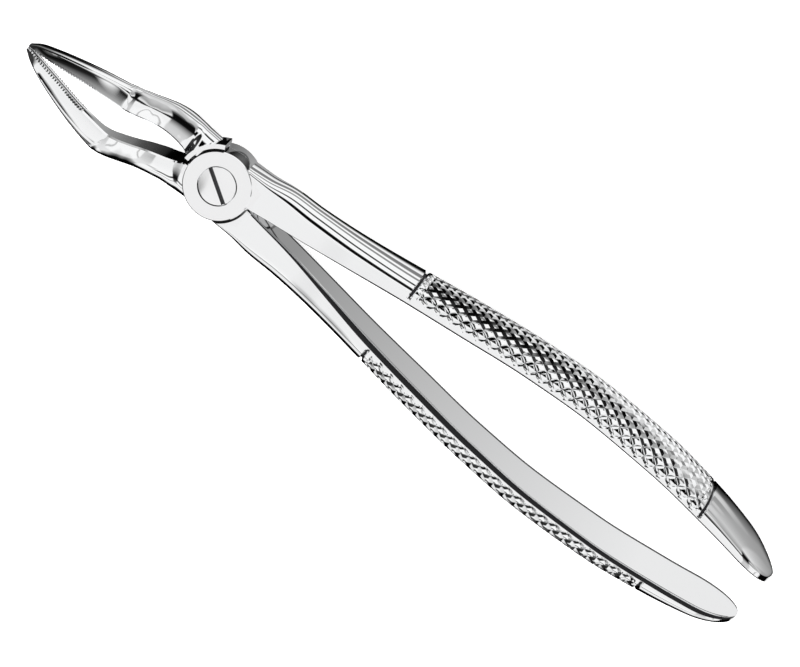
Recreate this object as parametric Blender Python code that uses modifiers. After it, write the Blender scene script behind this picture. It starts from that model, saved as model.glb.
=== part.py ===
"""Extraction forceps for upper roots: two crossed forged halves, hinged on one slotted screw.

Frame: metres. +Z runs along the pivot axis to the screw head, +X to the handle ends, and +Y is the
side of the handle that belongs to the near half. The origin is on the pivot axis, at the joint's
flat back face. Lengths below are in millimetres, and heights in the section tables are measured
from the joint's middle plane, where the two halves lap.
"""
import math

import bmesh
import bpy
from mathutils import Matrix

MM = 0.001

# Joint
JOINT_RADIUS = 7.0
JOINT_HALF = 4.2           # half the joint's thickness: each half's disc is this thick, less the lap gap
LAP_GAP = 0.1              # between the two discs, shared equally
TURN_GAP = 0.2             # round each disc, in the other half's pocket
DISC_PROUD = 0.04          # the discs stand this far proud of the arms that run into them
DISC_SIDES = 72

# Joint screw
HEAD_RADIUS = 3.85
HEAD_DEPTH = 1.7
SHANK_RADIUS = 2.3
SLOT_WIDTH = 0.85
SLOT_DEPTH = 0.9
HEAD_GAP = 0.08
SHANK_GAP = 0.05
SCREW_SIDES = 48
SCREW_TURN = math.radians(-34.5)    # the slot's direction as the screw was left

# Handles: distance from the pivot, half gap, half width, height of the flat side strip, thickness
HANDLE_SECTIONS = (
    (3.0, 0.10, 4.15, 5.80, 6.9),
    (7.0, 0.15, 4.15, 5.60, 7.1),
    (12.0, 0.75, 4.15, 4.80, 7.3),
    (19.0, 1.60, 4.35, 3.60, 6.7),
    (30.0, 3.30, 5.20, 2.65, 5.9),
    (42.0, 5.25, 6.20, 2.15, 5.5),
    (55.0, 7.00, 6.90, 1.70, 5.7),
    (70.0, 8.80, 7.30, 1.20, 5.7),
    (85.0, 9.70, 7.90, 1.00, 5.6),
    (100.0, 9.30, 8.50, 0.95, 5.4),
    (115.0, 7.75, 8.85, 0.90, 4.7),
    (125.0, 6.20, 8.90, 0.80, 3.7),
    (132.5, 4.70, 8.90, 0.60, 2.6),
)
HANDLE_END = 132.5
END_ROUND = 9.5            # length of the rounded end
GROOVES = (42.6, 112.6)    # ring grooves before and behind the gripping pattern
GROOVE_WIDTH = 0.9
GROOVE_DEPTH = 0.6

# Jaws: distance from the pivot, half gap, outer side, near side, far side
JAW_SECTIONS = (
    (3.0, 0.10, 6.90, 4.15, -4.15),
    (7.6, 0.45, 7.20, 4.15, -4.15),
    (9.6, 1.35, 7.30, 2.30, -4.15),
    (12.0, 2.10, 7.60, 3.05, -4.00),
    (15.0, 2.65, 7.85, 5.15, -2.10),
    (18.0, 2.95, 7.95, 7.80, 1.50),
    (20.5, 3.00, 7.95, 10.60, 4.60),
    (22.4, 2.95, 7.90, 12.05, 6.80),
    (25.0, 2.75, 7.40, 11.90, 8.00),
    (30.0, 2.15, 6.30, 11.45, 7.60),
    (36.0, 1.15, 4.60, 10.50, 6.90),
    (40.0, 0.55, 3.25, 9.70, 6.30),
    (43.0, 0.20, 2.00, 8.85, 5.90),
    (44.8, 0.10, 0.75, 7.95, 6.30),
)
JAW_STRIP = 0.35           # part of the jaw's thickness that has flat sides

SECTION_POWER = 2.2        # 2 is an ellipse, higher is squarer
CROWN_STEPS = 16           # faces round each section's convex outside

STEEL_COLOUR = (0.80, 0.81, 0.82, 1.0)
SCREW_COLOUR = (0.70, 0.71, 0.72, 1.0)


def steel(name, colour, roughness):
    material = bpy.data.materials.new(name)
    material.use_nodes = True
    shader = material.node_tree.nodes["Principled BSDF"]
    shader.inputs["Base Color"].default_value = colour
    shader.inputs["Metallic"].default_value = 1.0
    shader.inputs["Roughness"].default_value = roughness
    return material


def between(table, x):
    """The table's columns at x, on a smooth curve through its rows that never overshoots them."""
    last = len(table) - 1
    i = max(0, min(last - 1, sum(1 for row in table if row[0] <= x) - 1))
    span = table[i + 1][0] - table[i][0]
    t = min(1.0, max(0.0, (x - table[i][0]) / span))
    values = []
    for column in range(1, len(table[0])):
        def rise(k):
            return (table[k + 1][column] - table[k][column]) / (table[k + 1][0] - table[k][0])

        def slope(k):
            if k in (0, last):
                return rise(min(k, last - 1))
            before, after = rise(k - 1), rise(k)
            return 0.0 if before * after <= 0 else 2 * before * after / (before + after)

        start, end = table[i][column], table[i + 1][column]
        values.append(start * (1 + 2 * t) * (1 - t) ** 2 + slope(i) * span * t * (1 - t) ** 2
                      + end * t * t * (3 - 2 * t) + slope(i + 1) * span * t * t * (t - 1))
    return values


def section(inner, strip, crown, half_width, middle):
    """A D-shaped section: flat inside, flat side strips, convex outside; points as (y, z)."""
    points = [(inner, middle - half_width)]
    for step in range(CROWN_STEPS + 1):
        angle = math.pi * (step / CROWN_STEPS - 0.5)
        out = abs(math.cos(angle)) ** (2 / SECTION_POWER)
        side = math.copysign(abs(math.sin(angle)) ** (2 / SECTION_POWER), angle)
        points.append((inner + strip + crown * out, middle + half_width * side))
    points.append((inner, middle + half_width))
    return points


def handle_section(x, groove):
    inner, half_width, strip, thickness = between(HANDLE_SECTIONS, x)
    past = max(0.0, (x - (HANDLE_END - END_ROUND)) / END_ROUND)
    end = math.sqrt(max(0.0, 1 - past ** 2))
    crown = (thickness - strip) * (0.35 + 0.65 * end) - groove
    return section(inner, strip, crown, half_width * max(end, 0.12) - groove, 0.0)


def jaw_section(x):
    inner, outer, near, far = between(JAW_SECTIONS, x)
    thickness = outer - inner
    strip = JAW_STRIP * thickness
    return section(inner, strip, thickness - strip, (near - far) / 2, (near + far) / 2)


def new_object(name, mesh_data, collection, material=None):
    mesh = bpy.data.meshes.new(name)
    bmesh.ops.recalc_face_normals(mesh_data, faces=mesh_data.faces)
    mesh_data.to_mesh(mesh)
    mesh_data.free()
    if material:
        mesh.materials.append(material)
    mesh.shade_smooth()
    mesh.set_sharp_from_angle(angle=math.radians(32))
    result = bpy.data.objects.new(name, mesh)
    collection.objects.link(result)
    return result


def loft(name, stations, section_at, x_side, y_side, collection):
    """A closed skin over the sections at the stations; x_side and y_side mirror it into place."""
    mesh_data = bmesh.new()
    rings = []
    for station in stations:
        rings.append([mesh_data.verts.new((x_side * station[0] * MM, y_side * y * MM,
                                           (z + JOINT_HALF) * MM)) for y, z in section_at(*station)])
    count = len(rings[0])
    for ring, after in zip(rings, rings[1:]):
        for i in range(count):
            j = (i + 1) % count
            mesh_data.faces.new((ring[i], ring[j], after[j], after[i]))
    mesh_data.faces.new(rings[0])
    mesh_data.faces.new(rings[-1])
    return new_object(name, mesh_data, collection)


def handle_stations():
    step = 3.0
    plain = [3.0 + step * i for i in range(int((HANDLE_END - END_ROUND - 3.0) / step))]
    grooved = []
    for x in GROOVES:
        half = GROOVE_WIDTH / 2
        plain = [value for value in plain if abs(value - x) > GROOVE_WIDTH]
        grooved += [(x - half, 0.0), (x - half + 0.15, GROOVE_DEPTH),
                    (x + half - 0.15, GROOVE_DEPTH), (x + half, 0.0)]
    end_steps = 8
    rounded = [HANDLE_END - END_ROUND * (1 - math.sin(math.pi / 2 * i / end_steps))
               for i in range(end_steps + 1)]
    return sorted([(x, 0.0) for x in plain + rounded] + grooved)


def jaw_stations():
    first, last = JAW_SECTIONS[0][0], JAW_SECTIONS[-1][0]
    steps = 34
    return [(first + (last - first) * i / steps,) for i in range(steps + 1)]


def cylinder(name, radius, low, high, sides, collection):
    """An upright cylinder on the pivot axis, between two heights from the back face."""
    mesh_data = bmesh.new()
    bmesh.ops.create_cone(mesh_data, cap_ends=True, segments=sides, radius1=radius * MM,
                          radius2=radius * MM, depth=(high - low) * MM,
                          matrix=Matrix.Translation((0, 0, (high + low) / 2 * MM)))
    return new_object(name, mesh_data, collection)


def combine(target, operation, tool):
    modifier = target.modifiers.new(operation.title(), "BOOLEAN")
    modifier.operation = operation
    modifier.solver = "EXACT"
    modifier.object = tool


def make_half(name, near, parts, tools, material):
    """One forging: a handle on one side of the axis, half of the joint, and the crossed jaw."""
    side = 1 if near else -1
    thickness = 2 * JOINT_HALF
    half = loft(name, handle_stations(), handle_section, 1, side, parts)
    half.data.materials.append(material)
    jaw = loft(name + "_jaw", jaw_stations(), jaw_section, -1, -side, tools)
    gap = LAP_GAP / 2
    lap = (JOINT_HALF + gap, thickness + DISC_PROUD) if near else (-DISC_PROUD, JOINT_HALF - gap)
    pocket = (-5.0, JOINT_HALF + gap) if near else (JOINT_HALF - gap, thickness + 5.0)
    disc = cylinder(name + "_disc", JOINT_RADIUS, *lap, DISC_SIDES, tools)
    clear = cylinder(name + "_pocket", JOINT_RADIUS + TURN_GAP, *pocket, DISC_SIDES, tools)
    bore = cylinder(name + "_bore", SHANK_RADIUS + SHANK_GAP, -5.0, thickness + 5.0, SCREW_SIDES, tools)
    combine(half, "UNION", jaw)
    combine(half, "DIFFERENCE", clear)
    combine(half, "UNION", disc)
    combine(half, "DIFFERENCE", bore)
    if near:
        seat = cylinder(name + "_seat", HEAD_RADIUS + HEAD_GAP, thickness - HEAD_DEPTH - HEAD_GAP,
                        thickness + 5.0, SCREW_SIDES, tools)
        combine(half, "DIFFERENCE", seat)
    return half


def make_screw(parts, tools, material):
    top = 2 * JOINT_HALF + DISC_PROUD
    profile = [(0.0, top), (HEAD_RADIUS - 0.15, top), (HEAD_RADIUS, top - 0.15),
               (HEAD_RADIUS, 2 * JOINT_HALF - HEAD_DEPTH), (SHANK_RADIUS, 2 * JOINT_HALF - HEAD_DEPTH),
               (SHANK_RADIUS, 0.0), (0.0, 0.0)]
    mesh_data = bmesh.new()
    corners = [mesh_data.verts.new((r * MM, 0.0, z * MM)) for r, z in profile]
    for a, b in zip(corners, corners[1:]):
        mesh_data.edges.new((a, b))
    mesh = bpy.data.meshes.new("joint_screw")
    mesh_data.to_mesh(mesh)
    mesh_data.free()
    mesh.materials.append(material)
    screw = bpy.data.objects.new("joint_screw", mesh)
    parts.objects.link(screw)
    turn = screw.modifiers.new("Turn", "SCREW")
    turn.steps = turn.render_steps = SCREW_SIDES
    turn.use_merge_vertices = True
    turn.merge_threshold = 0.00001
    turn.use_normal_calculate = True

    slot_data = bmesh.new()
    bmesh.ops.create_cube(slot_data, size=1.0)
    bmesh.ops.scale(slot_data, verts=slot_data.verts,
                    vec=(3 * HEAD_RADIUS * MM, SLOT_WIDTH * MM, 2 * SLOT_DEPTH * MM))
    bmesh.ops.transform(slot_data, verts=slot_data.verts,
                        matrix=Matrix.Translation((0, 0, top * MM)) @ Matrix.Rotation(SCREW_TURN, 4, "Z"))
    combine(screw, "DIFFERENCE", new_object("slot", slot_data, tools))
    return screw


def main():
    for item in list(bpy.data.objects):
        bpy.data.objects.remove(item)
    parts = bpy.data.collections.new("extraction_forceps")
    tools = bpy.data.collections.new("cutters")
    bpy.context.scene.collection.children.link(parts)
    bpy.context.scene.collection.children.link(tools)

    forged = steel("polished_steel", STEEL_COLOUR, 0.12)
    turned = steel("screw_steel", SCREW_COLOUR, 0.25)
    make_half("upper_handle_half", True, parts, tools, forged)
    make_half("lower_handle_half", False, parts, tools, forged)
    make_screw(parts, tools, turned)

    for tool in tools.objects:
        tool.hide_render = True
        tool.display_type = "WIRE"


main()
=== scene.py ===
"""Looks of the extraction forceps: two polished halves with knurled handles, and a screw."""
import math

import bmesh
import bpy
import numpy as np
from mathutils import Matrix, Vector


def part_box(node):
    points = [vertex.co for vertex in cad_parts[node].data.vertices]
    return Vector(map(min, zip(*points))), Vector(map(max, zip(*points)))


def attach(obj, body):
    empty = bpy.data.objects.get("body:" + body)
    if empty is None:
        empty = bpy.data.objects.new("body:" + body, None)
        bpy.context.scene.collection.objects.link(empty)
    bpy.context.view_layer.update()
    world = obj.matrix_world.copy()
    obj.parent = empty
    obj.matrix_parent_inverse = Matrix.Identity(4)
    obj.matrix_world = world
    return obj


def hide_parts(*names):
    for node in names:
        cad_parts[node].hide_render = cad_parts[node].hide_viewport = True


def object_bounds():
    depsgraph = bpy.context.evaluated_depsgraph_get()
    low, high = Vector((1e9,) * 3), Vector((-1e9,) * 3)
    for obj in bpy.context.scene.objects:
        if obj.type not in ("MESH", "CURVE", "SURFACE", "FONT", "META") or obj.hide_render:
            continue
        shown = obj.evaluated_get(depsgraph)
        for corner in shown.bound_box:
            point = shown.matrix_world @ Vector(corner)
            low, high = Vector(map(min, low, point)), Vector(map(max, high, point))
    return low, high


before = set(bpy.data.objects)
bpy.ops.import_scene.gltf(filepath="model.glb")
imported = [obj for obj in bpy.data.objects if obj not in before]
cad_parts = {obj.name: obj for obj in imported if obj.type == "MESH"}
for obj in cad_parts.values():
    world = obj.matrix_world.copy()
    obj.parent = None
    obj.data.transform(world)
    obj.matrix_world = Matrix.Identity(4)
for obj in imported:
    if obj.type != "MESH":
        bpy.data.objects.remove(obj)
cad_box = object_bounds()

MM = 0.001
FAR, NEAR = "lower_handle_half", "upper_handle_half"

# Sizes read from the frame, in millimetres, as the object's other sizes are
near_low, near_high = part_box(NEAR)
screw_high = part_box("joint_screw")[1]
HANDLE_END = near_high.x / MM
JAW_END = -near_low.x / MM
HEAD_RADIUS = screw_high.x / MM
JOINT_TOP = screw_high.z / MM              # above the joint's back face

# Joint
JOINT_HALF = 4.2           # height of its middle plane above its back face
JOINT_RADIUS = 7.0
LAP_GAP = 0.1              # between the two discs
DISC_LIFT = 0.04           # how far each disc stands out of the joint's flat face
DISC_CHAMFER = 0.12        # on the near disc
DISC_EDGE = 0.01           # added to each disc's chamfer, so that it is never nothing
TURN_GAP = 0.2             # round the far half's disc
POCKET_GAP = 0.45          # round the near half's disc, wide enough to read as a dark line
RIM_WIDTH = 1.6            # raised edge of the far half's pocket, outside the joint's radius
RIM_INSIDE = 0.5           # how far the rim starts inside the joint's radius
RIM_DEPTH = 1.5            # how far the rim reaches down past the joint's middle plane
RIM_SLOPE = 0.25           # how much narrower the rim is at its top
RIM_DROP = 0.05            # from the joint's flat face down to the rim's top
RIM_STEPS = 40
RIM_START, RIM_STOP = 114.0, 176.5      # degrees from +X, also where the first arc of painted shade on the near disc's edge runs
DARK_START, DARK_STOP = -138, -32       # second arc of painted shade on the near disc's edge, in degrees
BORE_GAP = 0.05
SEAT_GAP = 0.15            # round the screw head
SEAT_FLOOR_GAP = 0.08      # under the screw head
OVERRUN = 5.0              # how far a cutting cylinder reaches past what it cuts
PLACE_TOLERANCE = 0.03     # when faces are picked by their place
FLAT_TOP_DEPTH = 0.12      # faces this near the joint's top are its flat top
HALF_SHARP, SCREW_SHARP = 24, 30        # edges over these angles stay sharp, in degrees

# Screw
HEAD_DEPTH = 1.7
SHANK_RADIUS = 2.3
SHANK_CHAMFER = 0.12
HEAD_EDGE = ((0.22, 0.0), (0.10, 0.03), (0.02, 0.11), (0.0, 0.2))     # inwards and down
SLOT_TURN = math.radians(-34.5)
SLOT_LENGTH, SLOT_WIDTH, SLOT_HEIGHT = 12.0, 0.85, 1.8    # half the height is above the head
DISC_SIDES, SCREW_SIDES, BORE_SIDES = 192, 128, 96

# Handle sections: distance from pivot, half gap, half width, flat side strip, thickness
HANDLE_SECTIONS = (
    (3.0, 0.10, 4.16, 5.80, 6.9),
    (7.0, 0.15, 4.16, 5.60, 7.1),
    (12.0, 0.75, 4.18, 4.80, 7.3),
    (19.0, 1.60, 4.35, 3.70, 6.7),
    (30.0, 3.30, 5.20, 2.75, 5.9),
    (42.0, 5.25, 6.20, 2.35, 5.5),
    (55.0, 7.00, 6.90, 2.15, 5.7),
    (70.0, 8.80, 7.30, 1.70, 5.7),
    (85.0, 9.70, 7.90, 1.55, 5.6),
    (100.0, 9.30, 8.50, 1.35, 5.4),
    (115.0, 7.75, 8.85, 1.25, 4.7),
    (125.0, 6.20, 8.90, 1.10, 3.7),
    (132.5, 4.70, 8.90, 0.90, 2.6),
)
# Corner facets from the strip to the inner face: how far each goes inward and across
NEAR_FACETS = ((0.38, 0.21),)
FAR_FACETS = ((0.62, 0.34), (0.30, 0.36), (0.16, 0.55))
BACK_EDGE = 0.8            # mesh band along the inner face's edges; on the far half's back one it is painted near-black as a dark outline of shade
CROWN_POWER = 2 / 2.1      # of the superellipse that rounds the outside
END_ROUND = 9.5
END_STEPS = 24
GROOVES = (42.6, 112.6)
GROOVE_WIDTH = 0.9
GROOVE_DEPTH = 0.6
GROOVE_BOTTOM = 0.16       # half the width of its bottom
STATION_STEP = 0.8         # along the smooth stretches
ROOT_START = 3.0           # where handles and jaws start, inside the joint
DARK_FROM = 8.0            # corner facets get the painted dark outline only farther from the pivot than this

# Knurl: crossed V-cuts on the handle's convex outside
CUT_PITCH = 2.9            # along the handle
CUT_STEPS = 8              # mesh steps in one pitch
CROWN_ROWS = 30            # mesh rows on half the crown
STRIP_ROWS = 4             # mesh rows on the flat strip, where the cuts run out
STRIP_SPACING = 0.36       # widest spacing of those rows
CUT_DEPTH = 0.42
CUT_FADE = (0.35, 1.4)     # distances from a ring groove between which the cuts reach that

# Jaw sections: distance from pivot, half gap, ridge, outer side, near edge, far edge
JAW_SECTIONS = (
    (3.0, 0.10, 5.00, 6.90, 4.15, -4.15),
    (7.6, 0.45, 5.10, 7.20, 4.15, -4.15),
    (9.6, 1.35, 5.20, 7.30, 2.30, -4.15),
    (12.0, 2.10, 5.40, 7.60, 3.05, -4.00),
    (15.0, 2.65, 5.70, 7.85, 5.15, -2.10),
    (18.0, 2.95, 5.95, 7.95, 7.80, 1.50),
    (20.5, 3.00, 6.10, 7.95, 10.20, 4.60),
    (22.6, 2.95, 6.15, 7.85, 11.35, 6.90),
    (25.0, 2.75, 6.15, 7.40, 11.20, 8.00),
    (30.0, 2.15, 5.35, 6.30, 10.80, 7.60),
    (36.0, 1.15, 3.85, 4.60, 9.90, 6.90),
    (40.0, 0.55, 2.60, 3.25, 9.15, 6.30),
    (43.0, 0.20, 1.50, 2.00, 8.40, 5.90),
    (44.8, 0.10, 0.50, 0.75, 7.90, 6.30),
)
# How much each half's near edge is raised at a distance, and where its dip round the disc starts
NEAR_RISE, NEAR_DIP_START = {9.6: 1.55, 12.0: 1.0}, 7.6
FAR_RISE, FAR_DIP_START = {9.6: 0.8, 12.0: 0.7}, 9.6
KNEE = 22.6
RIDGE_RISE = 0.6
FLANK_SAG = 0.10
FLANK_SHARE = 0.35         # part of a side's mesh steps that lies on the flank
SIDE_STEPS = 26
FACE_STEPS = 10
TOOTH_PITCH = 0.6
TOOTH_DEPTH = 0.24
TEETH_FROM = 28.0


def between(table, x):
    """The table's columns at x, on a smooth curve through its rows that never overshoots them."""
    last = len(table) - 1
    i = max(0, min(last - 1, sum(1 for row in table if row[0] <= x) - 1))
    span = table[i + 1][0] - table[i][0]
    t = min(1.0, max(0.0, (x - table[i][0]) / span))
    values = []
    for column in range(1, len(table[0])):
        def rise(k):
            return (table[k + 1][column] - table[k][column]) / (table[k + 1][0] - table[k][0])

        def slope(k):
            if k in (0, last):
                return rise(min(k, last - 1))
            before, after = rise(k - 1), rise(k)
            return 0.0 if before * after <= 0 else 2 * before * after / (before + after)

        start, end = table[i][column], table[i + 1][column]
        values.append(start * (1 + 2 * t) * (1 - t) ** 2 + slope(i) * span * t * (1 - t) ** 2
                      + end * t * t * (3 - 2 * t) + slope(i + 1) * span * t * t * (t - 1))
    return values


def ramp(value, low, high):
    t = min(1.0, max(0.0, (value - low) / (high - low)))
    return t * t * (3 - 2 * t)


# ---------------------------------------------------------------- meshes

def object_from(mesh_data, name):
    mesh = bpy.data.meshes.new(name)
    bmesh.ops.recalc_face_normals(mesh_data, faces=mesh_data.faces)
    mesh_data.to_mesh(mesh)
    mesh_data.free()
    result = bpy.data.objects.new(name, mesh)
    bpy.context.scene.collection.objects.link(result)
    return result


def loft(name, rings, x_side, y_side, split=None, slot_at=None):
    """A closed skin over rings of (x, y, z).

    split(i, j) picks the diagonal that a quad is cut on, and slot_at(i, j) its material slot.
    """
    mesh_data = bmesh.new()
    skin = [[mesh_data.verts.new((x_side * x * MM, y_side * y * MM, (z + JOINT_HALF) * MM))
             for x, y, z in ring] for ring in rings]
    count = len(skin[0])
    for i in range(len(skin) - 1):
        for j in range(count):
            k = (j + 1) % count
            quad = (skin[i][j], skin[i][k], skin[i + 1][k], skin[i + 1][j])
            cut = split(i, j) if split else None
            if cut is None:
                corners = (quad,)
            elif cut:
                corners = ((quad[0], quad[1], quad[2]), (quad[0], quad[2], quad[3]))
            else:
                corners = ((quad[0], quad[1], quad[3]), (quad[1], quad[2], quad[3]))
            for face in corners:
                mesh_data.faces.new(face).material_index = slot_at(i, j) if slot_at else 0
    mesh_data.faces.new(skin[0])
    mesh_data.faces.new(skin[-1])
    return object_from(mesh_data, name)


def cylinder(name, radius, low, high, sides=DISC_SIDES):
    mesh_data = bmesh.new()
    bmesh.ops.create_cone(mesh_data, cap_ends=True, segments=sides, radius1=radius * MM,
                          radius2=radius * MM, depth=(high - low) * MM,
                          matrix=Matrix.Translation((0, 0, (high + low) / 2 * MM)))
    return object_from(mesh_data, name)


def turned(name, profile, sides):
    """A solid of revolution about the pivot axis.

    profile is (radius, height) pairs, and its first and last points are on the axis.
    """
    mesh_data = bmesh.new()
    rows = []
    for radius, z in profile:
        turns = [2 * math.pi * i / sides for i in range(sides if radius else 1)]
        rows.append([mesh_data.verts.new((radius * MM * math.cos(turn),
                                          radius * MM * math.sin(turn), z * MM))
                     for turn in turns])
    for a, b in zip(rows, rows[1:]):
        for i in range(sides):
            j = (i + 1) % sides
            if len(a) == 1:
                mesh_data.faces.new((a[0], b[i], b[j]))
            elif len(b) == 1:
                mesh_data.faces.new((a[i], a[j], b[0]))
            else:
                mesh_data.faces.new((a[i], a[j], b[j], b[i]))
    return object_from(mesh_data, name)


def combine(target, operation, tool):
    """Applies one Boolean and removes its tool."""
    modifier = target.modifiers.new("Boolean", "BOOLEAN")
    modifier.operation = operation
    modifier.solver = "EXACT"
    modifier.object = tool
    view = bpy.context.evaluated_depsgraph_get()
    mesh = bpy.data.meshes.new_from_object(target.evaluated_get(view), depsgraph=view)
    target.modifiers.clear()
    old = target.data
    target.data = mesh
    bpy.data.meshes.remove(old)
    bpy.data.objects.remove(tool)


# ---------------------------------------------------------------- handles

def crown_points(strip_top, crown, half_width):
    """Points at equal distances along half of the convex outside, from its middle to the strip."""
    angle = np.linspace(0.0, math.pi / 2, 400)
    y = strip_top + crown * np.cos(angle) ** CROWN_POWER
    z = half_width * np.sin(angle) ** CROWN_POWER
    along = np.concatenate([[0.0], np.cumsum(np.hypot(np.diff(y), np.diff(z)))])
    steps = np.linspace(0.0, along[-1], CROWN_ROWS + 1)
    return np.interp(steps, along, y), np.interp(steps, along, z)


def handle_stations():
    """(distance, ring groove depth, knurl column or None) from the pivot outwards."""
    half = GROOVE_WIDTH / 2
    notch = ((-half, 0.0), (-half + 0.04, 0.06), (-GROOVE_BOTTOM, GROOVE_DEPTH),
             (GROOVE_BOTTOM, GROOVE_DEPTH), (half - 0.04, 0.06), (half, 0.0))
    rows = [(x, 0.0, None)
            for x in np.arange(ROOT_START, GROOVES[0] - half - 0.3, STATION_STEP)]
    rows += [(GROOVES[0] + dx, depth, None) for dx, depth in notch]
    start, stop = GROOVES[0] + half + 0.25, GROOVES[1] - half - 0.25
    columns = round((stop - start) / (CUT_PITCH / CUT_STEPS))
    rows += [(start + (stop - start) * i / columns, 0.0, i) for i in range(columns + 1)]
    rows += [(GROOVES[1] + dx, depth, None) for dx, depth in notch]
    first = GROOVES[1] + half + 0.3
    rows += [(x, 0.0, None) for x in np.arange(first, HANDLE_END - END_ROUND, STATION_STEP)]
    rows += [(HANDLE_END - END_ROUND * (1 - math.sin(math.pi / 2 * i / END_STEPS)), 0.0, None)
             for i in range(END_STEPS + 1)]
    return rows


def cut_at(column, row):
    """How deep each of the two crossed families of V-cuts is at a mesh point, from 0 to 1."""
    def vee(value):
        off = abs((value + CUT_STEPS / 2) % CUT_STEPS - CUT_STEPS / 2)
        return max(0.0, 1 - off / 2)

    return vee(column + row), vee(column - row)


def handle_rings(facet_table):
    """The handle's sections as rings of points, and the stations that they stand at."""
    rings = []
    stations = handle_stations()
    start = GROOVES[0] + GROOVE_WIDTH / 2
    stop = GROOVES[1] - GROOVE_WIDTH / 2
    for x, groove, column in stations:
        inner, half_width, strip, thickness = between(HANDLE_SECTIONS, x)
        past = max(0.0, (x - (HANDLE_END - END_ROUND)) / END_ROUND)
        end = math.sqrt(max(0.0, 1 - past ** 2))
        width = half_width * max(end, 0.1)
        crown = (thickness - strip) * (0.3 + 0.7 * end)
        edge = (0.2 + 0.8 * ramp(x, 10, 42) - 0.25 * ramp(x, 60, 100)) * max(0.3, end)
        ys, zs = crown_points(inner + strip, crown, width)
        facets = [(edge * inward, edge * across) for inward, across in facet_table]
        edge_top = sum(inward for inward, _ in facets)
        spacing = min(STRIP_SPACING, (strip - edge_top) / (STRIP_ROWS + 0.5))
        rows = [(ys[k], zs[k]) for k in range(CROWN_ROWS + 1)]
        rows += [(inner + strip - spacing * k, width) for k in range(1, STRIP_ROWS + 1)]
        outward = [(1.0, 0.0)]
        for a, b in zip(rows[:CROWN_ROWS - 1], rows[2:]):
            dy, dz = b[0] - a[0], b[1] - a[1]
            length = math.hypot(dy, dz)
            outward.append((dz / length, -dy / length))
        outward += [(0.0, 1.0)] * (STRIP_ROWS + 1)
        fade = 0.0
        if column is not None:
            fade = ramp(min(x - start, stop - x), *CUT_FADE)

        def side(sign):
            points = []
            for k, ((y, z), (ny, nz)) in enumerate(zip(rows, outward)):
                deep = groove * min(1.0, max(0.0, (CROWN_ROWS + STRIP_ROWS - k) / STRIP_ROWS))
                if column is not None:
                    one, other = cut_at(column, sign * k)
                    out = max(0.0, (k - CROWN_ROWS) / STRIP_ROWS)
                    leading, trailing = (one, other) if sign > 0 else (other, one)
                    cut = max(leading * (1 - out), trailing * max(0.0, 1 - 2.5 * out))
                    deep += CUT_DEPTH * fade * cut
                points.append((x, y - ny * deep, sign * (z - nz * deep)))
            y, z = inner + edge_top, width
            points.append((x, y, sign * z))
            for inward, across in facets:
                y, z = y - inward, z - across
                points.append((x, y, sign * z))
            points.append((x, inner, sign * (z - 0.02 - min(BACK_EDGE, z / 3))))
            points.append((x, inner, sign * z * 0.5))
            return points

        near, far = side(1), side(-1)
        rings.append(near + [(x, inner, 0.0)] + far[:0:-1])
    return rings, stations


def make_handle(name, y_side):
    rings, stations = handle_rings(NEAR_FACETS if y_side > 0 else FAR_FACETS)
    count = len(rings[0])

    def split(i, j):
        column, after = stations[i][2], stations[i + 1][2]
        if column is None or after is None:
            return None
        row = j if j <= count // 2 else j - count
        if abs(row + 0.5) > CROWN_ROWS + STRIP_ROWS:
            return None
        # One diagonal joins (column, row) to (column + 1, row + 1), which a cut follows where
        # column - row is a whole pitch; the other family of cuts follows the other diagonal.
        along_first = (column - row) % CUT_STEPS
        along_second = (column + row + 1) % CUT_STEPS
        first = min(along_first, CUT_STEPS - along_first)
        second = min(along_second, CUT_STEPS - along_second)
        return first <= second

    def slot_at(i, j):
        """Slot 2 is painted shade: the corner facets, the groove bottoms and the far half's back
        edge band are painted near-black as dark outlines.
        """
        near_side = j < count // 2
        corner = (j if near_side else count - 1 - j) - (CROWN_ROWS + STRIP_ROWS + 1)
        if stations[i][1] == stations[i + 1][1] == GROOVE_DEPTH and corner < -2:
            return 2
        if stations[i][0] < DARK_FROM:
            return 0
        if y_side > 0:
            return 2 if corner in (0, 1) else 0
        return 2 if corner in ((0, 1) if near_side else (1, 2, 3)) else 0

    return loft(name, rings, 1, y_side, split, slot_at)


# ---------------------------------------------------------------- jaws

def jaw_stations():
    root = list(np.arange(ROOT_START, TEETH_FROM, 0.4))
    step = TOOTH_PITCH / 4
    count = round((JAW_END - TEETH_FROM) / step)
    return root + [TEETH_FROM + (JAW_END - TEETH_FROM) * i / count for i in range(count + 1)]


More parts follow.
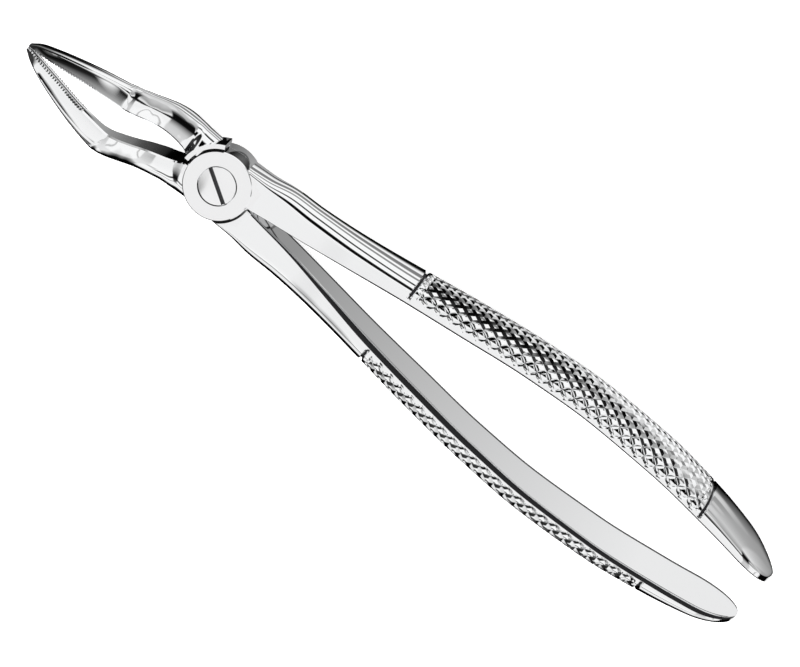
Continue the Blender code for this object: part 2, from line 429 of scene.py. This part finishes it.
def jaw_ring(d, far_half):
    """One section: near side from inner edge to outside, far side back, then the inner face."""
    rise, dip_start = ((FAR_RISE, FAR_DIP_START) if far_half
                       else (NEAR_RISE, NEAR_DIP_START))
    table = [(*row[:4], row[4] + rise.get(row[0], 0.0), row[5]) for row in JAW_SECTIONS]
    inner, ridge, outer, near, far = between(table, d)
    beak = ramp(d, KNEE - 0.3, KNEE + 0.9)
    tip = 1 - ramp(d, JAW_END - 5, JAW_END)
    tooth = 0.0
    if d > TEETH_FROM:
        phase = (d - TEETH_FROM) / TOOTH_PITCH % 1.0
        tooth = TOOTH_DEPTH * (1 - abs(2 * phase - 1)) * ramp(d, TEETH_FROM, TEETH_FROM + 2)
        tooth *= 0.35 + 0.65 * tip
    middle, half = (near + far) / 2, (near - far) / 2
    edge = 0.31 * (0.4 + 0.6 * tip) * ramp(d, 6, 9)
    blend = 1 - ramp(d, 11.0, 17.0)

    def sunk(y):
        """Near the joint the near side follows circles about the pivot and dips to the disc."""
        reach = d + blend * (math.hypot(d, y) - d)
        return between(table, max(reach, dip_start))[3] - between(table, max(d, dip_start))[3]

    def profile(t, side):
        """Beak: hollow flank up to a ridge, then a round back. Shank: a rounded bar."""
        shank_strip = 0.22 * (outer - inner)
        if t < FLANK_SHARE:
            u = t / FLANK_SHARE
            y_beak = inner + edge + (ridge - inner - edge) * u
            z_beak = half + RIDGE_RISE * tip * u * side - FLANK_SAG * tip * 4 * u * (1 - u)
            y_bar = inner + edge + (shank_strip - edge) * u
            z_bar = half
        else:
            u = (t - FLANK_SHARE) / (1 - FLANK_SHARE) * math.pi / 2
            y_beak = ridge + (outer - ridge) * math.sin(u)
            z_beak = (half + RIDGE_RISE * tip * side) * math.cos(u)
            y_bar = inner + shank_strip + (outer - inner - shank_strip) * math.sin(u) ** 0.9
            z_bar = half * math.cos(u) ** 0.9
        return y_bar + (y_beak - y_bar) * beak, z_bar + (z_beak - z_bar) * beak

    ring = []
    for k in range(SIDE_STEPS + 1):
        y, z = profile(k / SIDE_STEPS, 1)
        share = max(0.0, z / half)
        top = middle + z + sunk(y) * share
        ring.append((d, y + (tooth if k == 0 else 0.0), top))
    for k in range(SIDE_STEPS - 1, -1, -1):
        y, z = profile(k / SIDE_STEPS, 0)
        ring.append((d, y + (tooth if k == 0 else 0.0), middle - z))
    low, high = far + edge, ring[0][2] - edge
    hollow = 0.10 * ramp(d, KNEE + 3, KNEE + 8) * tip
    for k in range(FACE_STEPS + 1):
        t = k / FACE_STEPS
        rim = max(0.0, 1 - 5 * min(t, 1 - t))
        y = inner + hollow * 4 * t * (1 - t) + tooth * rim
        ring.append((d, y, low + (high - low) * t))
    return ring


def make_jaw(name, y_side, far_half):
    return loft(name, [jaw_ring(d, far_half) for d in jaw_stations()], -1, y_side)


def ring_sector(name, inner, outer, low, high, start, stop):
    """Part of a ring about the pivot, narrower at the top, between two angles in degrees."""
    mesh_data = bmesh.new()
    rows = []
    for i in range(RIM_STEPS + 1):
        angle = math.radians(start + (stop - start) * i / RIM_STEPS)
        c, s = math.cos(angle) * MM, math.sin(angle) * MM
        rows.append([mesh_data.verts.new((r * c, r * s, z * MM))
                     for r, z in ((inner, low), (outer, low),
                                  (outer - RIM_SLOPE, high), (inner, high))])
    for a, b in zip(rows, rows[1:]):
        for k in range(4):
            mesh_data.faces.new((a[k], a[(k + 1) % 4], b[(k + 1) % 4], b[k]))
    mesh_data.faces.new(rows[0])
    mesh_data.faces.new(rows[-1])
    return object_from(mesh_data, name)


# ---------------------------------------------------------------- materials

def principled(name, colour, metallic=1.0):
    material = bpy.data.materials.new(name)
    material.use_nodes = True
    shader = material.node_tree.nodes["Principled BSDF"]
    shader.inputs["Base Color"].default_value = (*colour, 1.0)
    shader.inputs["Metallic"].default_value = metallic
    return material, shader


def node(tree, kind, inputs=None, **settings):
    result = tree.nodes.new(kind)
    for key, value in settings.items():
        setattr(result, key, value)
    for key, value in (inputs or {}).items():
        result.inputs[key].default_value = value
    return result


def add_polish(material, shader, low, high, stretch, bump):
    """Roughness from soft patches and fine polishing lines, and a faint relief of the lines."""
    tree = material.node_tree
    place = node(tree, "ShaderNodeTexCoord")
    scale = node(tree, "ShaderNodeMapping")
    scale.inputs["Scale"].default_value = stretch
    tree.links.new(place.outputs["Object"], scale.inputs["Vector"])
    lines = node(tree, "ShaderNodeTexNoise", {"Scale": 1.0, "Detail": 4.0, "Roughness": 0.6})
    tree.links.new(scale.outputs["Vector"], lines.inputs["Vector"])
    patches = node(tree, "ShaderNodeTexNoise", {"Scale": 90.0, "Detail": 2.0})
    tree.links.new(place.outputs["Object"], patches.inputs["Vector"])
    both = node(tree, "ShaderNodeMath", operation="MULTIPLY")
    tree.links.new(lines.outputs["Fac"], both.inputs[0])
    tree.links.new(patches.outputs["Fac"], both.inputs[1])
    spread = node(tree, "ShaderNodeMapRange",
                  {"From Min": 0.12, "From Max": 0.42, "To Min": low, "To Max": high})
    tree.links.new(both.outputs["Value"], spread.inputs["Value"])
    tree.links.new(spread.outputs["Result"], shader.inputs["Roughness"])
    relief = node(tree, "ShaderNodeBump", {"Strength": bump, "Distance": 0.00002})
    tree.links.new(lines.outputs["Fac"], relief.inputs["Height"])
    tree.links.new(relief.outputs["Normal"], shader.inputs["Normal"])


def polished_steel():
    material, shader = principled("polished_steel", (0.94, 0.945, 0.95))
    add_polish(material, shader, 0.035, 0.07, (400.0, 2500.0, 2500.0), 0.02)
    return material


def satin_steel():
    material, shader = principled("satin_steel", (0.93, 0.93, 0.935))
    add_polish(material, shader, 0.10, 0.14, (900.0, 5000.0, 5000.0), 0.06)
    return material


def screw_steel():
    material, shader = principled("screw_steel", (0.93, 0.93, 0.935))
    add_polish(material, shader, 0.10, 0.14, (4000.0, 4000.0, 4000.0), 0.05)
    return material


def outline_shade_paint():
    """Near-black paint for the dark outlines along edges: painted shade that stands in for dark
    reflections, not a real finish.
    """
    material, shader = principled("outline_shade_paint", (0.012, 0.012, 0.013), 0.0)
    shader.inputs["Specular IOR Level"].default_value = 0.15
    add_polish(material, shader, 0.35, 0.5, (400.0, 2500.0, 2500.0), 0.02)
    return material


def slot_shade_paint():
    """Dull dark grey paint in the slot: painted shade in the narrow recess."""
    material, shader = principled("slot_shade_paint", (0.10, 0.10, 0.105))
    add_polish(material, shader, 0.35, 0.6, (3000.0, 9000.0, 3000.0), 0.2)
    return material


# ---------------------------------------------------------------- pieces

def finish_piece(piece, sharp):
    """Smooth shading, apart from edges sharper than an angle in degrees."""
    piece.data.shade_smooth()
    piece.data.set_sharp_from_angle(angle=math.radians(sharp))


def make_half(name, near, polished, satin, dark):
    """One forging: handle, jaw and half of the lap joint."""
    side = 1 if near else -1
    top = 2 * JOINT_HALF
    half = make_handle(name, side)
    for material in (polished, satin, dark):
        half.data.materials.append(material)
    jaw = make_jaw("jaw", -side, not near)
    gap = LAP_GAP / 2
    if near:
        low, high = JOINT_HALF + gap, top + DISC_LIFT
        pocket = (JOINT_RADIUS + TURN_GAP, -OVERRUN, JOINT_HALF + gap)
        chamfer = DISC_CHAMFER
    else:
        low, high = -DISC_LIFT, JOINT_HALF - gap
        pocket = (JOINT_RADIUS + POCKET_GAP, JOINT_HALF - gap, top + OVERRUN)
        chamfer = 0.0
    combine(half, "UNION", jaw)
    if not near:
        combine(half, "UNION", ring_sector("rim", JOINT_RADIUS - RIM_INSIDE,
                                           JOINT_RADIUS + RIM_WIDTH, JOINT_HALF - RIM_DEPTH,
                                           top - RIM_DROP, RIM_START, RIM_STOP))
    combine(half, "DIFFERENCE", cylinder("pocket", *pocket))
    disc = [(0.0, low), (JOINT_RADIUS, low), (JOINT_RADIUS, high - chamfer - DISC_EDGE),
            (JOINT_RADIUS - 1.3 * chamfer - DISC_EDGE, high), (0.0, high)]
    combine(half, "UNION", turned("disc", disc, DISC_SIDES))
    combine(half, "DIFFERENCE", cylinder("bore", SHANK_RADIUS + BORE_GAP, -OVERRUN,
                                         top + OVERRUN, BORE_SIDES))
    if near:
        combine(half, "DIFFERENCE", cylinder("seat", HEAD_RADIUS + SEAT_GAP,
                                             top - HEAD_DEPTH - SEAT_FLOOR_GAP, top + OVERRUN))
    paint_joint(half, near)
    finish_piece(half, HALF_SHARP)
    return half


def paint_joint(half, near):
    """Slot 1, satin, on the joint's flat top, and slot 2, painted shade, on the far half's pocket
    wall and floor ring and on two arcs of the near disc's edge, so that they look outlined.
    """
    floor = JOINT_HALF - LAP_GAP / 2
    flat_top = JOINT_TOP - FLAT_TOP_DEPTH
    for face in half.data.polygons:
        height = face.center.z / MM
        out = face.center.xy.length / MM - JOINT_RADIUS
        if face.normal.z > 0.9995 and height > flat_top and out < 1.0:
            face.material_index = 1
        # Painted shade: the far half's pocket wall and the ring of floor next to it are painted
        # near-black
        elif not near and height > floor - 0.01:
            on_floor = 0.02 < out < POCKET_GAP + PLACE_TOLERANCE and height < floor + 0.01
            on_wall = abs(out - POCKET_GAP) < PLACE_TOLERANCE and abs(face.normal.z) < 0.1
            if on_floor or on_wall:
                face.material_index = 2
        # Painted shade: two arcs of the near disc's wall and chamfer are painted near-black
        elif near and -0.2 < out < PLACE_TOLERANCE and face.normal.z < 0.9:
            angle = math.degrees(math.atan2(face.center.y, face.center.x))
            in_arc = RIM_START < angle < RIM_STOP or DARK_START < angle < DARK_STOP
            if in_arc and height > JOINT_HALF:
                face.material_index = 2


def make_screw(material, slot_material):
    """A slotted head with a rounded edge, and a shank through both halves."""
    seat = 2 * JOINT_HALF - HEAD_DEPTH
    profile = [(0.0, JOINT_TOP)]
    profile += [(HEAD_RADIUS - inwards, JOINT_TOP - down) for inwards, down in HEAD_EDGE]
    profile += [(HEAD_RADIUS, seat), (SHANK_RADIUS, seat), (SHANK_RADIUS, SHANK_CHAMFER),
                (SHANK_RADIUS - SHANK_CHAMFER, 0.0), (0.0, 0.0)]
    screw = turned("slotted_screw", profile, SCREW_SIDES)
    slot_data = bmesh.new()
    bmesh.ops.create_cube(slot_data, size=1.0)
    bmesh.ops.scale(slot_data, verts=slot_data.verts,
                    vec=(SLOT_LENGTH * MM, SLOT_WIDTH * MM, SLOT_HEIGHT * MM))
    bmesh.ops.transform(slot_data, verts=slot_data.verts,
                        matrix=Matrix.Translation((0, 0, JOINT_TOP * MM))
                        @ Matrix.Rotation(SLOT_TURN, 4, "Z"))
    combine(screw, "DIFFERENCE", object_from(slot_data, "slot"))
    screw.data.materials.clear()
    screw.data.materials.append(material)
    screw.data.materials.append(slot_material)
    slot_axis = Vector((math.cos(SLOT_TURN), math.sin(SLOT_TURN), 0.0))
    for face in screw.data.polygons:
        across = (face.center - slot_axis * face.center.dot(slot_axis)).xy.length
        depth = JOINT_TOP * MM - face.center.z
        # The slot's floor and walls, which get the painted shade
        if across < 0.5 * MM and 0.2 * MM < depth < 1.5 * MM:
            face.material_index = 1
    finish_piece(screw, SCREW_SHARP)
    return screw


# ---------------------------------------------------------------- studio

# Brightness of the tent round the object's long axis: degrees from +Z towards +Y, display level
TENT = ((-180, 0.03), (-120, 0.03), (-104, 0.04), (-98, 0.95), (-80, 1.0), (-77, 0.60), (-74, 1.0),
        (-66, 1.0), (-63, 0.15), (-59, 0.15), (-56, 1.0), (-18, 0.96), (12, 0.98), (15, 0.03),
        (40, 0.03), (46, 1.0), (73, 1.0), (76, 0.05), (84, 0.05), (87, 1.0), (112, 1.0),
        (115, 0.50), (121, 0.55), (124, 1.0), (131, 1.0), (134, 0.50), (146, 0.50), (149, 1.0),
        (157, 0.90), (162, 0.30), (166, 0.03), (180, 0.03))
TENT_LEFT = ((-180, 0.05), (-100, 0.05), (-92, 0.10), (-84, 0.85), (-76, 0.35), (-62, 0.04),
             (-50, 0.15), (-40, 0.45), (-27, 0.70), (-19, 0.90), (-5, 0.96), (40, 0.97),
             (74, 1.0), (79, 0.10), (84, 1.0), (125, 1.0), (138, 0.60), (146, 0.08), (180, 0.05))
TENT_MIDDLE = (tuple(row for row in TENT_LEFT if row[0] < 0)
               + tuple(row for row in TENT if row[0] >= 0))
TENT_RIGHT = ((-180, 0.40), (-172, 0.05), (-105, 0.05), (-98, 0.85), (-82, 1.0), (-60, 1.0),
              (-52, 0.70), (-45, 1.0), (-18, 0.96), (8, 0.98), (14, 0.06), (26, 0.06),
              (36, 0.95), (60, 0.62), (100, 0.80), (140, 0.66), (174, 0.60), (180, 0.40))
SHADE_LEFT = ((-180, 0.04), (-60, 0.04), (0, 0.25), (60, 0.04), (105, 0.04), (120, 0.55),
              (150, 0.20), (165, 0.04), (180, 0.04))
SHADE_RIGHT = ((-180, 0.40), (-172, 0.04), (-110, 0.04), (-96, 0.60), (-82, 0.92), (-50, 0.90),
               (-20, 0.80), (0, 0.55), (18, 0.08), (56, 0.06), (70, 0.35), (92, 0.90),
               (140, 0.75), (174, 0.60), (180, 0.40))
# Each table takes over from the one before between two values of a direction's X
TENT_STEPS = ((TENT_MIDDLE, -0.15, -0.21), (TENT_LEFT, -0.27, -0.33), (SHADE_LEFT, -0.54, -0.60),
              (TENT_RIGHT, 0.24, 0.38), (SHADE_RIGHT, 0.46, 0.50), (TENT_RIGHT, 0.74, 0.80))
DISPLAY_GAMMA = 2.2

# Staging, in metres
FLOOR_DROP, CARD_DROP = 0.0005, 0.0003       # below the object's lowest point
MIDDLE = (0.04, 0.0, 0.0)                    # roughly the middle of the object
LENS, SENSOR = 114.9975, 36.0                # millimetres
CAMERA_DISTANCE = 0.5
CAMERA_RIGHT = (0.7884, 0.5902, -0.1718)     # directions of the picture's right and up
CAMERA_UP = (-0.6138, 0.7407, -0.2730)
PIVOT_IN_VIEW = (-0.0348, 0.0297)            # right of and above the picture's centre


def brightness_ramp(tree, source, table):
    ramp_node = node(tree, "ShaderNodeValToRGB")
    points = ramp_node.color_ramp.elements
    for element, (angle, level) in ((points[0], table[0]), (points[1], table[-1])):
        element.position = (angle + 180.0) / 360.0
        element.color = (*[level ** DISPLAY_GAMMA] * 3, 1.0)
    for angle, level in table[1:-1]:
        element = points.new((angle + 180.0) / 360.0)
        element.color = (*[level ** DISPLAY_GAMMA] * 3, 1.0)
    tree.links.new(source, ramp_node.inputs["Fac"])
    return ramp_node.outputs["Color"]


def mix_colour(tree, factor, first, second):
    # Sockets by number, because a Mix node has one of the same name for each data type
    mix = node(tree, "ShaderNodeMix", data_type="RGBA")
    tree.links.new(factor, mix.inputs[0])
    tree.links.new(first, mix.inputs[6])
    tree.links.new(second, mix.inputs[7])
    return mix.outputs[2]


def make_world():
    """A white light tent with dark gaps between its panels, which give polished steel its lines.

    It was tuned to the photo's view. The panels change towards +X and -X.
    """
    world = bpy.data.worlds.new("light_tent")
    bpy.context.scene.world = world
    world.use_nodes = True
    tree = world.node_tree
    place = node(tree, "ShaderNodeTexCoord")
    axes = node(tree, "ShaderNodeSeparateXYZ")
    tree.links.new(place.outputs["Generated"], axes.inputs["Vector"])
    turn = node(tree, "ShaderNodeMath", operation="ARCTAN2")
    tree.links.new(axes.outputs["Y"], turn.inputs[0])
    tree.links.new(axes.outputs["Z"], turn.inputs[1])
    share = node(tree, "ShaderNodeMapRange", {"From Min": -math.pi, "From Max": math.pi})
    tree.links.new(turn.outputs["Value"], share.inputs["Value"])
    total = brightness_ramp(tree, share.outputs["Result"], TENT)
    for table, start, stop in TENT_STEPS:
        end_part = brightness_ramp(tree, share.outputs["Result"], table)
        reach = node(tree, "ShaderNodeMapRange", {"From Min": start, "From Max": stop})
        tree.links.new(axes.outputs["X"], reach.inputs["Value"])
        total = mix_colour(tree, reach.outputs["Result"], total, end_part)
    background = tree.nodes["Background"]
    tree.links.new(total, background.inputs["Color"])
    background.inputs["Strength"].default_value = 1.0


def make_card(name, centre, size, dim, bright):
    """A glowing card just above the floor, seen only in the steel; it brightens towards +X."""
    mesh_data = bmesh.new()
    bmesh.ops.create_grid(mesh_data, x_segments=1, y_segments=1, size=0.5)
    bmesh.ops.scale(mesh_data, verts=mesh_data.verts, vec=(*size, 1.0))
    card = object_from(mesh_data, name)
    card.location = (*centre, cad_box[0][2] - CARD_DROP)
    material = bpy.data.materials.new(name)
    material.use_nodes = True
    tree = material.node_tree
    tree.nodes.remove(tree.nodes["Principled BSDF"])
    glow = node(tree, "ShaderNodeEmission")
    place = node(tree, "ShaderNodeTexCoord")
    axes = node(tree, "ShaderNodeSeparateXYZ")
    tree.links.new(place.outputs["Object"], axes.inputs["Vector"])
    level = node(tree, "ShaderNodeMapRange",
                 {"From Min": -0.45 * size[0], "From Max": 0.25 * size[0],
                  "To Min": dim, "To Max": bright})
    tree.links.new(axes.outputs["X"], level.inputs["Value"])
    tree.links.new(level.outputs["Result"], glow.inputs["Strength"])
    tree.links.new(glow.outputs["Emission"], tree.nodes["Material Output"].inputs["Surface"])
    card.data.materials.append(material)
    card.visible_camera = False
    card.visible_diffuse = False
    card.visible_shadow = False


def make_floor():
    """A pale floor that glows a little and isn't seen in the steel."""
    low = cad_box[0][2]
    bpy.ops.mesh.primitive_plane_add(size=6.0, location=(*MIDDLE[:2], low - FLOOR_DROP))
    floor = bpy.context.active_object
    floor.name = "floor"
    material, shader = principled("pale_floor", (0.9, 0.9, 0.9), 0.0)
    shader.inputs["Roughness"].default_value = 0.9
    shader.inputs["Specular IOR Level"].default_value = 0.0
    shader.inputs["Emission Color"].default_value = (1.0, 1.0, 1.0, 1.0)
    shader.inputs["Emission Strength"].default_value = 0.62
    floor.data.materials.append(material)
    floor.visible_glossy = False


def add_light(name, place, size, power):
    """A disc of light that faces the object's middle and isn't seen in the steel."""
    data = bpy.data.lights.new(name, "AREA")
    data.shape = "DISK"
    data.size = size
    data.energy = power
    light = bpy.data.objects.new(name, data)
    bpy.context.scene.collection.objects.link(light)
    light.location = place
    light.rotation_euler = (Vector(MIDDLE) - Vector(place)).to_track_quat("-Z", "Y").to_euler()
    light.visible_glossy = False


def make_camera():
    """A long lens looking down at the object from the side of the near half's handle."""
    right = Vector(CAMERA_RIGHT)
    back = right.cross(Vector(CAMERA_UP)).normalized()
    up = back.cross(right.normalized()).normalized()
    right = right.normalized()
    place = (right * -PIVOT_IN_VIEW[0] + up * -PIVOT_IN_VIEW[1] + back * CAMERA_DISTANCE
             + Vector((0, 0, JOINT_HALF * MM)))
    data = bpy.data.cameras.new("camera")
    data.sensor_width = SENSOR
    data.lens = LENS
    data.clip_start = 0.01
    camera = bpy.data.objects.new("camera", data)
    bpy.context.scene.collection.objects.link(camera)
    turn = Matrix((right, up, back)).transposed().to_4x4()
    camera.matrix_world = Matrix.Translation(place) @ turn
    bpy.context.scene.camera = camera


make_camera()
make_world()
make_floor()
make_card("handle_card", (0.079, -0.0042), (0.130, 0.0158), 0.30, 0.86)
make_card("joint_card", (0.003, 0.0), (0.021, 0.019), 0.15, 0.45)
add_light("soft_top", (0.0, 0.1, 0.9), 0.9, 9.0)

# dark is painted shade: near-black paint for the outlines of edges, grooves and the joint's gaps
polished, satin, dark = polished_steel(), satin_steel(), outline_shade_paint()
near_half = make_half("near_half_forging", True, polished, satin, dark)
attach(near_half, "near_half")
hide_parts(NEAR)
far_half = make_half("far_half_forging", False, polished, satin, dark)
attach(far_half, "far_half")
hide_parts(FAR)
screw = make_screw(screw_steel(), slot_shade_paint())
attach(screw, "far_half")
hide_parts("joint_screw")

bpy.context.scene.view_settings.view_transform = "Standard"
